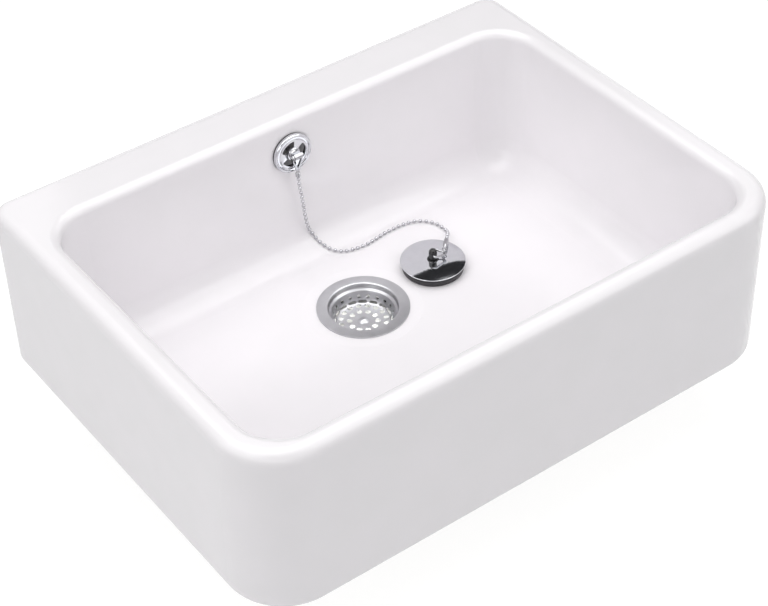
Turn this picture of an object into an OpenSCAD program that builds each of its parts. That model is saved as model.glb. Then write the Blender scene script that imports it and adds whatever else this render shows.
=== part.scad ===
// Ceramic kitchen sink with its strainer waste, overflow kit, ball chain and plug.
// +Z is up, +Y is the rear, and the origin is the middle of the flat underside.

/* [Basin] */
// Width of the sink, left to right
body_w = 600; // [560:10:700]
// Depth of the sink, front to rear
body_d = 450; // [430:10:520]
// Height of the ceramic body
body_h = 185; // [170:5:240]
// Radius of the two front corners, seen from above
front_corner_r = 60; // [40:5:80]
// Radius of the two rear corners, seen from above
rear_corner_r = 20; // [16:2:30]
// Rounding of the outer top edge
top_edge_r = 12; // [6:1:14]
// Rounding of the outer bottom edge
bottom_edge_r = 8; // [4:1:12]

/* [Bowl] */
// Thickness of the left and right walls at the rim
side_wall = 27; // [24:1:34]
// Thickness of the front wall at the rim
front_wall = 22; // [22:1:30]
// Depth of the rear ledge at the rim
ledge_depth = 60; // [58:1:80]
// Thickness of the floor
floor_t = 22; // [20:1:28]
// Radius of the bowl's upright corners at the rim
bowl_corner_r = 42; // [42:1:60]
// Radius between the walls and the floor
floor_fillet = 33; // [20:1:34]
// Rounding of the inner rim
lip_r = 9; // [5:1:9]
// Lean of the bowl's walls, in degrees
wall_lean = 2; // [1:0.5:3]

/* [Rear pocket] */
// Thickness of the ceramic wall behind the bowl
rear_wall = 22; // [20:1:24]
// Thickness of the ledge over the pocket
ledge_t = 28; // [24:1:34]
// Thickness of the side walls beside the pocket
pocket_side = 50; // [40:2:80]
// Radius of the pocket's upper corners
pocket_corner_r = 18; // [8:1:24]

/* [Waste hole] */
// Distance of the waste behind the middle of the sink
waste_y = 48; // [20:2:60]
// Radius of the hole through the floor
waste_hole_r = 39; // [38.5:0.5:41]
// How far the flange covers the ceramic round its seal
rebate_cover = 0.4; // [0.2:0.1:1]
// Depth of the rebate that holds the flange seal
rebate_depth = 1.5; // [1:0.5:2.5]
// Radius of the shallow dish round the waste
dish_r = 60; // [56:1:61]
// Depth of the dish
dish_depth = 1.2; // [0.6:0.2:2]
// Radius of the recess under the floor that holds the lower seal
under_recess_r = 46.5; // [46.5:0.1:47]
// Depth of that recess
under_recess = 2; // [1:0.5:4]

/* [Strainer] */
// Radius of the steel flange
flange_r = 46.8; // [45:0.1:48]
// Height of the flange over the dish
flange_t = 1.8; // [1.4:0.1:2.4]
// Radius of the cup's mouth
mouth_r = 35; // [34.5:0.5:36.5]
// Rounding of the flange into the mouth
mouth_lip = 1.8; // [1:0.1:2]
// Depth of the straight mouth
mouth_depth = 5; // [3:0.5:6]
// Radius where the plug seats
seat_r = 31.8; // [31.5:0.1:32.5]
// Depth of the whole cup
cup_depth = 19; // [17:0.5:22]
// Radius of the flat perforated base
cup_base_r = 26.5; // [26:0.5:27.5]
// Thickness of the steel
cup_t = 1.2; // [0.8:0.1:1.5]
// Radius of each drain hole
drain_hole_r = 2.9; // [2:0.1:3]
// Radius of the small holes in the cup's wall
wall_hole_r = 1.9; // [1.4:0.1:2]
// Radius of the strainer screw's thread
screw_r = 3; // [2.5:0.5:3.5]

/* [Waste body] */
// Thickness of the seal under the sink
under_seal_t = 5; // [4:0.5:6]
// Radius of the waste body's clamping flange
clamp_r = 46; // [43:0.5:46]
// Inner radius of the body's bowl
body_bowl_r = 34; // [33:0.5:36]
// Wall of the plastic mouldings
moulding_t = 3; // [2.5:0.5:4]
// Depth of the straight bowl under the seal
body_bowl_depth = 30; // [28:1:40]
// Depth of the cone under that bowl
body_cone_depth = 12; // [8:1:18]
// Outer radius of the threaded outlet
outlet_r = 23.9; // [20:0.1:26]
// Length of the threaded outlet
outlet_len = 42; // [30:1:60]
// Height of the overflow inlet on the body
inlet_z = -26; // [-30:1:-26]
// Reach of that inlet from the waste's axis
inlet_reach = 62; // [58:1:70]

/* [Overflow] */
// Height of the overflow's middle
overflow_z = 146; // [130:1:150]
// Radius of the overflow hole
overflow_hole_r = 16; // [14:0.5:16]
// Radius of the chrome rosette
rosette_r = 21.6; // [20.5:0.1:24]
// Number of openings in the rosette
rosette_openings = 3; // [2:1:4]
// Thickness of the rosette's seal
rosette_seal_t = 2; // [0.5:0.5:2]
// Thickness of the seal behind the wall
elbow_seal_t = 3; // [2:0.5:4]
// Outer radius of the elbow
elbow_r = 16.5; // [16:0.5:17]
// Radius of the rosette bolt's thread
bolt_r = 2.5; // [2:0.5:3]
// Height of the elbow's lower end
elbow_end_z = 114; // [106:1:116]

/* [Hose] */
// Radius over the ribs of the hose
hose_rib_r = 12.5; // [11.5:0.5:13]
// Radius of the smooth hose ends
hose_r = 10.4; // [9.5:0.1:10.4]
// Wall of the hose
hose_wall = 1.9; // [1.2:0.1:2.4]
// Distance from rib to rib
rib_pitch = 5; // [4:0.5:8]
// Radius of the hose's bend
hose_bend_r = 38; // [36:1:42]
// Outer radius of the union nuts
nut_r = 17; // [16.5:0.5:18]

/* [Shackle] */
// Radius of the shackle's pin
pin_r = 1.25; // [1:0.05:1.5]
// Distance from the pin to the clasp
shackle_len = 19; // [16:1:24]
// Length of the chain clasp
clasp_len = 6; // [5:0.5:8]
// Running clearance of pins in their holes
run_fit = 0.05; // [0.02:0.01:0.1]

/* [Plug] */
// Sideways place of the plug on the floor
plug_x = 92; // [92:1:140]
// Place of the plug behind the middle of the sink
plug_y = 54; // [20:1:80]
// Radius of the polished disc
disc_r = 33.4; // [31:0.1:34.5]
// Height of the disc in its middle
disc_t = 2.2; // [1.6:0.1:3]
// Crown of the disc from its edge to its middle
disc_crown = 1.5; // [0.6:0.1:1.5]
// Radius of the rubber at its top
rubber_r = 32; // [30:0.5:32.4]
// Height of the rubber
rubber_h = 8.8; // [8:0.1:12]
// Radius of the stud's eye
stud_r = 4.2; // [3.6:0.1:4.6]
// Height of the cross hole over the disc
stud_hole_h = 7.5; // [7:0.5:9]
// Radius of the triangle link's wire
link_wire_r = 1.1; // [0.9:0.05:1.2]
// Length of the triangle link
link_len = 16; // [14:0.5:20]
// Half of the link's width
link_half = 8; // [7.5:0.5:9]
// Droop of the resting link, in degrees
link_droop = 12; // [8:1:13]
// Direction in which the link lies, seen from above, in degrees
link_turn = -25; // [-60:5:30]

/* [Chain] */
// Diameter of the chain's balls
ball_d = 3.2; // [2.4:0.1:3.4]
// Radius of the chain connector's barrel
barrel_r = 2.4; // [2.2:0.1:2.8]
// Length of that barrel
barrel_len = 15; // [10:0.5:15]

/* [Hidden] */
$fn = 96;

x_side = body_w / 2;
y_rear = body_d / 2;
bowl_x = x_side - side_wall;
bowl_front = front_wall - y_rear;
bowl_back = y_rear - ledge_depth;
pocket_y = bowl_back + rear_wall;
pocket_x = x_side - pocket_side;
cut = 1;
edge_band = rear_corner_r;
seat_gap = 0.6;

rebate_r = flange_r - rebate_cover;
dish_z = floor_t - dish_depth;
rebate_z = dish_z - rebate_depth;
flange_top = dish_z + flange_t;
cup_floor = flange_top - cup_depth;
cup_under = cup_floor - cup_t;
body_top = under_recess - under_seal_t;
bowl_foot = body_top - body_bowl_depth;
outlet_top = bowl_foot - body_cone_depth;
outlet_end = outlet_top - outlet_len;
outlet_bore_r = outlet_r - moulding_t - 0.4;
boss_r = screw_r + 5;
insert_wall = 2.5;
insert_gap = 0.02;
insert_len = 12;

seat_y = bowl_back - (body_h - overflow_z - rosette_r - 1) * tan(wall_lean);
rosette_y = seat_y - rosette_seal_t;
rosette_rise = 3.6;
rosette_plate = 1.6;
rosette_hub_h = 4.1;
rosette_hub_r = 6.5;
opening_in_r = rosette_hub_r + 0.7;
opening_out_r = rosette_r - 7.2;
opening_corner = 1.2;
bolt_head_h = 1.5;
bolt_head_r = 5.2;
lug_half = 4;
lug_r = 3.5;
pin_reach = rosette_hub_h + bolt_head_h + 3.4;
pin_y = rosette_y - pin_reach;
ear_gap = 0.3;
ear_t = 1.6;
ear_r = pin_r + 1.55;

elbow_y = pocket_y + elbow_seal_t + elbow_r;
elbow_wall = moulding_t - 0.5;
elbow_flange_r = 24;
elbow_flange_t = 4;
socket_r = hose_r + 0.3;
socket_len = 10;
spigot_r = socket_r + 2.4;
hose_bore_r = hose_r - hose_wall;
washer_t = 4;
nut_back = 8;
nut_lip = 4;
inlet_end = waste_y + inlet_reach;

floor_z = floor_t;
rubber_top = floor_z + rubber_h;
disc_top = rubber_top + disc_t;
recess_h = 4;
recess_r = 12;
washer_plate = 1;
shank_r = stud_r - 0.6;
hole_z = disc_top + stud_hole_h;
link_bend = 1.8 * link_wire_r;
ring_r = 3.4;
ring_wire = 0.7;
ring_reach = (ring_wire + link_wire_r + 0.25) / sin(atan(link_half / link_len));
eye_r = 2.2;
eye_wire = 0.6;
eye_reach = 2 * ring_r + eye_r - eye_wire - ring_wire - 0.15;
connector_turn = 70;

// Route of the ball chain, chosen by hand: down from the clasp, over the floor and onto the plug.
CHAIN_HANGING = [[0, 153.4, 120.8], [0.6, 153.4, 113], [1.6, 153.4, 105], [2.8, 153.5, 97], [3.8, 153.7, 88],
    [4.9, 154, 79], [6, 154.4, 70], [7.2, 154.9, 62], [8.8, 155.4, 54.5], [10.8, 156, 48], [13.4, 155.9, 42.4],
    [16.6, 151.6, 35.2], [20.2, 145.4, 29.4], [24.8, 138.2, 25.7], [31, 131.5, 24.1], [38.6, 127.2, 23.8],
    [47, 125, 23.8], [52, 124.4, 23.8]];
CHAIN_LYING = [[52, 124.4, 23.8], [57, 123.8, 23.8], [64, 124, 23.8], [72, 125.2, 23.8], [80, 126.4, 23.8],
    [88, 127.2, 23.8], [96, 127.4, 23.8], [104, 127.3, 23.8], [112, 126.4, 23.8], [119.6, 124.4, 23.8],
    [126.6, 120.5, 23.8], [132, 115, 23.8], [135.8, 108.6, 23.8], [137.6, 102.4, 23.8], [138, 98.5, 23.8],
    [138, 95, 23.8]];
CHAIN_AT_PLUG = [[138, 95, 23.8], [138, 91.5, 23.8], [136, 87, 25.9], [132.6, 82.2, 29], [129, 77.4, 32.3],
    [125.6, 73.3, 35], [122.2, 69.6, 36.1], [119.7, 67.1, 36.3]];
tube_sides = 8;

// Points on an arc, for a profile.
function arc(x, y, r, from, to, steps = 5) =
    [for (i = [0:steps]) let (a = from + (to - from) * i / steps) [x + r * cos(a), y + r * sin(a)]];
function unit(v) = v / norm(v);
function along(p) = [for (i = [0:len(p) - 1]) unit(p[min(i + 1, len(p) - 1)] - p[max(i - 1, 0)])];
function across(n, t) = unit(n - (n * t) * t);
function carried(t, i, done) =
    i == len(t) ? done : carried(t, i + 1, concat(done, [across(done[i - 1], t[i])]));
function ring_points(p, r, sides, first) =
    let (t = along(p), n = carried(t, 1, [across(first, t[0])]))
    [for (i = [0:len(p) - 1], k = [0:sides - 1])
        p[i] + r[i] * (cos(360 * k / sides) * n[i] + sin(360 * k / sides) * cross(t[i], n[i]))];
function wall_faces(rings, sides, from = 0, flip = false) =
    [for (i = [0:rings - 2], k = [0:sides - 1], half = [0, 1])
        let (a = from + i * sides + k, b = from + i * sides + (k + 1) % sides)
        half == 0 ? (flip ? [a, a + sides, b] : [a, b, a + sides])
                  : (flip ? [b, a + sides, b + sides] : [b, b + sides, a + sides])];

// A plain round tube along points, closed at both ends.
module solid_tube(p, r, first) {
    n = len(p);
    s = tube_sides;
    polyhedron(
        points = ring_points(p, [for (q = p) r], s, first),
        faces = concat(wall_faces(n, s, flip = true), [[for (k = [0:s - 1]) k]],
            [[for (k = [s - 1:-1:0]) (n - 1) * s + k]]));
}

// A ribbed hose with its bore; the radii alternate between valley and rib.
module ribbed_tube(p, radii, bore, first) {
    n = len(p);
    s = tube_sides;
    m = n * s;
    ring = function (i, k, base) base + i * s + k % s;
    caps = [for (k = [0:s - 1], half = [0, 1])
        half == 0 ? [ring(0, k, 0), ring(0, k + 1, 0), ring(0, k, m)]
                  : [ring(0, k + 1, 0), ring(0, k + 1, m), ring(0, k, m)]];
    far = [for (k = [0:s - 1], half = [0, 1])
        half == 0 ? [ring(n - 1, k + 1, 0), ring(n - 1, k, 0), ring(n - 1, k, m)]
                  : [ring(n - 1, k + 1, m), ring(n - 1, k + 1, 0), ring(n - 1, k, m)]];
    polyhedron(
        points = concat(ring_points(p, radii, s, first), ring_points(p, [for (q = p) bore], s, first)),
        faces = concat(wall_faces(n, s, flip = true), wall_faces(n, s, from = m), caps, far));
}

// Carries a flat profile round a rectangle with rounded corners. X of the profile is the
// distance in from the edge, and Y is the height.
module round_the_edge(x0, x1, y0, y1, r_front, r_rear) {
    module bar(x, y, turn, length)
        translate([x, y, 0]) rotate([0, 0, turn]) rotate([90, 0, 90]) linear_extrude(length) children();
    module corner(x, y, turn, r)
        translate([x, y, 0]) rotate([0, 0, turn]) rotate_extrude(angle = 90)
            translate([r, 0]) mirror([1, 0]) children();
    bar(x0 + r_front, y0, 0, x1 - x0 - 2 * r_front) children();
    bar(x1, y0 + r_front, 90, y1 - y0 - r_front - r_rear) children();
    bar(x1 - r_rear, y1, 180, x1 - x0 - 2 * r_rear) children();
    bar(x0, y1 - r_rear, 270, y1 - y0 - r_front - r_rear) children();
    corner(x1 - r_rear, y1 - r_rear, 0, r_rear) children();
    corner(x0 + r_rear, y1 - r_rear, 90, r_rear) children();
    corner(x0 + r_front, y0 + r_front, 180, r_front) children();
    corner(x1 - r_front, y0 + r_front, 270, r_front) children();
}

module rounded_plan(x0, x1, y0, y1, r_front, r_rear) {
    translate([x0 + r_front, y0]) square([x1 - x0 - 2 * r_front, r_front]);
    translate([x0, y0 + r_front]) square([x1 - x0, y1 - y0 - r_front - r_rear]);
    if (r_rear > 0) translate([x0 + r_rear, y1 - r_rear]) square([x1 - x0 - 2 * r_rear, r_rear]);
    for (side = [0, 1]) {
        translate([side ? x1 - r_front : x0 + r_front, y0 + r_front]) circle(r_front);
        if (r_rear > 0) translate([side ? x1 - r_rear : x0 + r_rear, y1 - r_rear]) circle(r_rear);
    }
}

// Outer wall, with the rounded top and bottom edges.
module outer_profile() {
    difference() {
        square([edge_band, body_h]);
        translate([-cut, body_h - top_edge_r]) difference() {
            square([top_edge_r + cut, top_edge_r + cut]);
            translate([top_edge_r + cut, 0]) circle(top_edge_r);
        }
        translate([-cut, -cut]) difference() {
            square([bottom_edge_r + cut, bottom_edge_r + cut]);
            translate([bottom_edge_r + cut, bottom_edge_r + cut]) circle(bottom_edge_r);
        }
    }
}

// The hollow of the bowl from its wall inwards: rounded lip, leaning wall and round foot.
module bowl_profile() {
    c = cos(wall_lean);
    s = sin(wall_lean);
    t = tan(wall_lean);
    foot_x = floor_fillet / c + (body_h - floor_t - floor_fillet) * t;
    foot_z = floor_t + floor_fillet;
    lip_x = lip_r * t - lip_r / c;
    lip_z = body_h - lip_r;
    difference() {
        union() {
            polygon([[foot_x - floor_fillet * c, foot_z - floor_fillet * s],
                [lip_x + lip_r * c, lip_z + lip_r * s], [lip_x, body_h], [lip_x, body_h + cut],
                [bowl_corner_r, body_h + cut], [bowl_corner_r, floor_t], [foot_x, floor_t]]);
            intersection() {
                translate([foot_x, foot_z]) circle(floor_fillet);
                translate([foot_x - floor_fillet, floor_t]) square(floor_fillet);
            }
        }
        translate([lip_x, lip_z]) circle(lip_r);
    }
}

module sink_basin() {
    color("white") difference() {
        union() {
            round_the_edge(-x_side, x_side, -y_rear, y_rear, front_corner_r, rear_corner_r) outer_profile();
            linear_extrude(body_h)
                rounded_plan(edge_band - x_side, x_side - edge_band, edge_band - y_rear, y_rear - edge_band,
                    front_corner_r - edge_band, 0);
        }
        round_the_edge(-bowl_x, bowl_x, bowl_front, bowl_back, bowl_corner_r, bowl_corner_r) bowl_profile();
        translate([bowl_corner_r - bowl_x, bowl_front + bowl_corner_r, floor_t])
            cube([2 * (bowl_x - bowl_corner_r), bowl_back - bowl_front - 2 * bowl_corner_r,
                body_h - floor_t + cut]);
        translate([0, waste_y, 0]) {
            translate([0, 0, dish_z]) cylinder(h = dish_depth, r1 = rebate_r + dish_depth, r2 = dish_r);
            translate([0, 0, rebate_z]) cylinder(h = floor_t, r = rebate_r);
            translate([0, 0, -cut]) cylinder(h = floor_t, r = waste_hole_r);
            translate([0, 0, -cut]) cylinder(h = under_recess + cut, r = under_recess_r);
        }
        translate([0, pocket_y + cut, overflow_z]) rotate([90, 0, 0])
            cylinder(h = 2 * rear_wall, r = overflow_hole_r);
        translate([0, seat_y, overflow_z]) rotate([90, 0, 0])
            cylinder(h = rear_wall / 2, r = rosette_r + seat_gap);
        rear_pocket();
    }
}

// The hollow under the ledge, open behind and below, where the overflow pipe runs.
// It arches up round the elbow's flange.
module rear_pocket() {
    top = body_h - ledge_t;
    translate([0, y_rear + cut, 0]) rotate([90, 0, 0]) linear_extrude(y_rear + cut - pocket_y) {
        translate([-pocket_x, -cut]) square([2 * pocket_x, top - pocket_corner_r + cut]);
        translate([pocket_corner_r - pocket_x, 0]) square([2 * (pocket_x - pocket_corner_r), top]);
        for (x = [-1, 1]) translate([x * (pocket_x - pocket_corner_r), top - pocket_corner_r])
            circle(pocket_corner_r);
        translate([0, overflow_z]) circle(elbow_flange_r + 1.5);
    }
}

module flange_seal() {
    color("dimgray") translate([0, waste_y, rebate_z]) difference() {
        cylinder(h = rebate_depth, r = rebate_r - 0.3);
        translate([0, 0, -cut]) cylinder(h = rebate_depth + 2 * cut, r = waste_hole_r);
    }
}

// Pressed steel cup: crowned flange, rounded mouth, seat for the plug, and a base with two
// rings of holes, slots round its foot and small holes in its wall.
module strainer_cup() {
    step_z = flange_top - mouth_depth;
    seat_z = step_z - 2;
    foot_h = 3;
    wall_foot_r = cup_base_r + 2.5;
    edge_t = 0.4;
    crown = 3;
    hole_rings = [[10, cup_base_r * 0.53], [16, cup_base_r - drain_hole_r - 0.5]];
    foot_slots = 16;
    slot_r = 1.4;
    slot_half = 2.9;
    wall_holes = 20;
    color("silver") translate([0, waste_y, 0]) difference() {
        rotate_extrude() polygon(concat(
            [[flange_r, dish_z], [flange_r, dish_z + edge_t], [flange_r - 0.3 * crown, dish_z + 0.6 * flange_t],
                [flange_r - 0.65 * crown, dish_z + 0.87 * flange_t], [flange_r - 1.2 * crown, flange_top]],
            arc(mouth_r + mouth_lip, flange_top - mouth_lip, mouth_lip, 90, 180),
            [[mouth_r - 0.2, step_z], [mouth_r - 0.9, step_z - 0.9], [seat_r + 0.5, seat_z + 0.3],
                [seat_r, seat_z - 0.4], [wall_foot_r, cup_floor + foot_h], [cup_base_r, cup_floor],
                [0, cup_floor], [0, cup_under], [cup_base_r + 0.5, cup_under],
                [wall_foot_r + cup_t, cup_floor + foot_h - 0.4], [seat_r + cup_t, seat_z - 1],
                [mouth_r + cup_t, step_z - 1], [mouth_r + cup_t, dish_z]]));
        translate([0, 0, cup_under - cut]) cylinder(h = cup_t + 2 * cut, r = screw_r + 0.3);
        for (ring = hole_rings, i = [0:ring[0] - 1])
            rotate([0, 0, 360 * i / ring[0]]) translate([ring[1], 0, cup_under - cut])
                cylinder(h = cup_t + 2 * cut, r = drain_hole_r, $fn = 24);
        for (i = [0:foot_slots - 1])
            rotate([0, 0, 360 * (i + 0.5) / foot_slots])
                translate([(cup_base_r + wall_foot_r) / 2, 0, cup_floor + foot_h / 2])
                    rotate([0, -atan2(foot_h, wall_foot_r - cup_base_r), 0])
                        linear_extrude(4 * cup_t, center = true) polygon(concat(
                            arc(0, slot_half, slot_r, 0, 180, 6), arc(0, -slot_half, slot_r, 180, 360, 6)));
        for (i = [0:wall_holes - 1])
            rotate([0, 0, 360 * (i + 0.5) / wall_holes]) translate([cup_base_r, 0, cup_floor + 6.5])
                rotate([0, 90, 0]) cylinder(h = 10, r = wall_hole_r, $fn = 24);
    }
}

module strainer_screw() {
    head_r = screw_r + 2.6;
    head_h = 2.6;
    dome_r = 8;
    dome = asin((head_r - 0.6) / dome_r);
    color("silver") translate([0, waste_y, cup_floor]) difference() {
        rotate_extrude() polygon(concat([[0, -cup_t - insert_len], [screw_r, -cup_t - insert_len], [screw_r, 0],
            [head_r, 0], [head_r, head_h - dome_r + dome_r * cos(dome) - 0.5]],
            arc(0, head_h - dome_r, dome_r, 90 - dome, 90)));
        translate([-head_r - cut, -0.6, head_h - 1.1]) cube([2 * head_r + 2 * cut, 1.2, 2]);
    }
}

module under_seal() {
    color("dimgray") translate([0, waste_y, body_top]) difference() {
        cylinder(h = under_seal_t, r = clamp_r - 1);
        translate([0, 0, -cut]) cylinder(h = under_seal_t + 2 * cut, r = waste_hole_r);
    }
}

// Moulded body under the sink: clamping flange, bowl, cone, outlet, inlet and screw boss.
module waste_body() {
    bowl_out = body_bowl_r + moulding_t;
    color("whitesmoke") translate([0, waste_y, 0]) difference() {
        union() {
            difference() {
                union() {
                    rotate_extrude() polygon([[0, body_top], [clamp_r, body_top], [clamp_r, body_top - 3],
                        [clamp_r - 1, body_top - 4], [bowl_out + 2, body_top - 4], [bowl_out, body_top - 6],
                        [bowl_out, bowl_foot], [outlet_r + 2, outlet_top], [outlet_r, outlet_top - 1],
                        [outlet_r, outlet_end + 1.5], [outlet_r - 1.5, outlet_end], [0, outlet_end]]);
                    translate([0, outlet_r, inlet_z]) rotate([-90, 0, 0])
                        cylinder(h = inlet_reach - outlet_r, r = spigot_r);
                }
                rotate_extrude() polygon([[0, body_top + cut], [body_bowl_r, body_top + cut],
                    [body_bowl_r, bowl_foot + 1], [outlet_bore_r, outlet_top + 1],
                    [outlet_bore_r, outlet_end - cut], [0, outlet_end - cut]]);
                translate([0, (boss_r + body_bowl_r) / 2, inlet_z]) rotate([-90, 0, 0])
                    cylinder(h = inlet_reach, r = hose_bore_r);
                translate([0, inlet_reach - socket_len, inlet_z]) rotate([-90, 0, 0])
                    cylinder(h = socket_len + cut, r = socket_r);
            }
            translate([0, 0, outlet_top]) cylinder(h = cup_under - outlet_top, r = boss_r);
            for (a = [30, 150, 270]) rotate([0, 0, a]) translate([boss_r - 1, -1.5, outlet_top + 4])
                cube([body_bowl_r - boss_r + 2, 3, body_top - 12 - outlet_top]);
        }
        translate([0, 0, cup_under - insert_len]) cylinder(h = insert_len + cut, r = screw_r + insert_wall);
    }
}

// Brass sleeve for a screw, with its lower end at the origin.
module threaded_insert(r, length) {
    color("goldenrod") difference() {
        cylinder(h = length, r = r + insert_wall - insert_gap);
        translate([0, 0, -cut]) cylinder(h = length + 2 * cut, r = r + insert_gap);
    }
}

module waste_insert() {
    translate([0, waste_y, cup_under - insert_len]) threaded_insert(screw_r, insert_len);
}

// Places a piece on the rosette's axis: Z points out of the wall, into the bowl.
module on_rosette() {
    translate([0, rosette_y, overflow_z]) rotate([90, 0, 0]) children();
}

// Opening between two spokes, with rounded corners, as one outline.
module rosette_opening() {
    half = 180 / rosette_openings - 22;
    c = opening_corner;
    at = function (r, a) r * [cos(a), sin(a)];
    out_turn = asin(c / (opening_out_r - c));
    in_turn = asin(c / (opening_in_r + c));
    corner = function (r, a, from, to) let (p = at(r, a)) arc(p[0], p[1], c, from, to, 4);
    polygon(concat(
        [for (i = [-5:5]) at(opening_out_r, (half - out_turn) * i / 5)],
        corner(opening_out_r - c, half - out_turn, half - out_turn, half + 90),
        corner(opening_in_r + c, half - in_turn, half + 90, half - in_turn + 180),
        [for (i = [-5:5]) at(opening_in_r, -(half - in_turn) * i / 5)],
        corner(opening_in_r + c, in_turn - half, in_turn - half + 180, 270 - half),
        corner(opening_out_r - c, out_turn - half, 270 - half, out_turn - half + 360)));
}

// Pressed cap: rolled rim, a groove inside it, a raised plate with the openings, and a hub.
module overflow_rosette() {
    rim = 1.8;
    base_w = 4;
    color("silver") on_rosette() difference() {
        rotate_extrude() polygon(concat(
            [[0, rosette_rise - rosette_plate], [rosette_r - base_w - 1, rosette_rise - rosette_plate],
                [rosette_r - base_w, 0], [rosette_r, 0]],
            arc(rosette_r - rim, rosette_rise - 1.5, rim, 0, 150, 8),
            [[rosette_r - 2.6 * rim, rosette_rise - 0.7], [rosette_r - 3 * rim, rosette_rise - 0.4],
                [rosette_r - 3.5 * rim, rosette_rise], [rosette_hub_r, rosette_rise],
                [rosette_hub_r - 0.6, rosette_hub_h], [0, rosette_hub_h]]));
        translate([0, 0, -cut]) linear_extrude(rosette_hub_h + 2 * cut)
            for (i = [0:rosette_openings - 1]) rotate(2 + 360 * i / rosette_openings) rosette_opening();
        translate([0, 0, -cut]) cylinder(h = rosette_hub_h + 2 * cut, r = bolt_r + 0.2);
    }
}

module rosette_seal() {
    color("dimgray") translate([0, seat_y, overflow_z]) rotate([90, 0, 0]) difference() {
        cylinder(h = rosette_seal_t, r = rosette_r - 0.6);
        translate([0, 0, -cut]) cylinder(h = rosette_seal_t + 2 * cut, r = overflow_hole_r);
    }
}

// Bolt of the rosette, with the lug that carries the shackle's pin.
module rosette_bolt() {
    shank = rosette_y + rosette_hub_h;
    reach = elbow_y - rosette_y;
    color("silver") on_rosette() difference() {
        union() {
            translate([0, 0, -reach]) cylinder(h = reach + rosette_hub_h, r = bolt_r);
            translate([0, 0, rosette_hub_h])
                cylinder(h = bolt_head_h, r1 = bolt_head_r, r2 = bolt_head_r - 0.7);
            translate([-lug_half, 0, pin_reach]) rotate([0, 90, 0]) cylinder(h = 2 * lug_half, r = lug_r);
            translate([-lug_half, -lug_r, rosette_hub_h + bolt_head_h - 0.5])
                cube([2 * lug_half, 2 * lug_r, pin_reach - rosette_hub_h - bolt_head_h + 0.5]);
        }
        translate([-10, 0, pin_reach]) rotate([0, 90, 0]) cylinder(h = 20, r = pin_r + run_fit);
    }
}

module elbow_seal() {
    color("dimgray") translate([0, pocket_y, overflow_z]) rotate([-90, 0, 0]) difference() {
        cylinder(h = elbow_seal_t, r = elbow_flange_r - 1);
        translate([0, 0, -cut]) cylinder(h = elbow_seal_t + 2 * cut, r = overflow_hole_r);
    }
}

// Moulded elbow behind the wall: flange, barrel, round back and downward spigot.
module overflow_elbow() {
    inner_r = elbow_r - elbow_wall;
    flange_y = pocket_y + elbow_seal_t;
    color("whitesmoke") difference() {
        union() {
            difference() {
                union() {
                    translate([0, flange_y, overflow_z]) rotate([-90, 0, 0])
                        cylinder(h = elbow_flange_t, r = elbow_flange_r);
                    translate([0, flange_y, overflow_z]) rotate([-90, 0, 0])
                        cylinder(h = elbow_y - flange_y, r = elbow_r);
                    translate([0, elbow_y, overflow_z]) sphere(elbow_r);
                    translate([0, elbow_y, elbow_end_z]) cylinder(h = overflow_z - elbow_end_z, r = spigot_r);
                }
                translate([0, flange_y - cut, overflow_z]) rotate([-90, 0, 0])
                    cylinder(h = elbow_y - flange_y + cut, r = inner_r);
                translate([0, elbow_y, overflow_z]) sphere(inner_r);
                translate([0, elbow_y, elbow_end_z - cut])
                    cylinder(h = overflow_z - elbow_end_z, r = hose_bore_r);
                translate([0, elbow_y, elbow_end_z - cut]) cylinder(h = socket_len + cut, r = socket_r);
            }
            translate([0, elbow_y - insert_len, overflow_z]) rotate([-90, 0, 0])
                cylinder(h = insert_len + elbow_r - 1, r = bolt_r + insert_wall + 1.8);
        }
        translate([0, elbow_y - insert_len - cut, overflow_z]) rotate([-90, 0, 0])
            cylinder(h = insert_len + cut + 0.5, r = bolt_r + insert_wall);
    }
}

module elbow_insert() {
    translate([0, elbow_y - insert_len, overflow_z]) rotate([-90, 0, 0]) threaded_insert(bolt_r, insert_len);
}

// The two hose ends: the origin is the socket's face and Z points along the hose.
module at_inlet() {
    translate([0, inlet_end, inlet_z]) rotate([-90, 0, 0]) children();
}
module at_elbow() {
    translate([0, elbow_y, elbow_end_z]) rotate([180, 0, 0]) children();
}

module hose_washer() {
    difference() {
        cylinder(h = washer_t, r = spigot_r - 0.1);
        translate([0, 0, -cut]) cylinder(h = washer_t + 2 * cut, r = hose_r + 0.1);
    }
}

module hose_washers() {
    color("black") {
        at_inlet() hose_washer();
        at_elbow() hose_washer();
    }
}

// Union nut with flats, a bore over the spigot and a lip over the washer.
module union_nut() {
    color("whitesmoke") difference() {
        translate([0, 0, -nut_back]) cylinder(h = nut_back + washer_t + nut_lip, r = nut_r, $fn = 12);
        translate([0, 0, -nut_back - cut]) cylinder(h = nut_back + washer_t + cut, r = spigot_r + 0.15);
        translate([0, 0, washer_t - cut]) cylinder(h = nut_lip + 2 * cut, r = hose_r + 0.5);
    }
}

module hose_nut_lower() {
    at_inlet() union_nut();
}

module hose_nut_upper() {
    at_elbow() union_nut();
}

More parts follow.
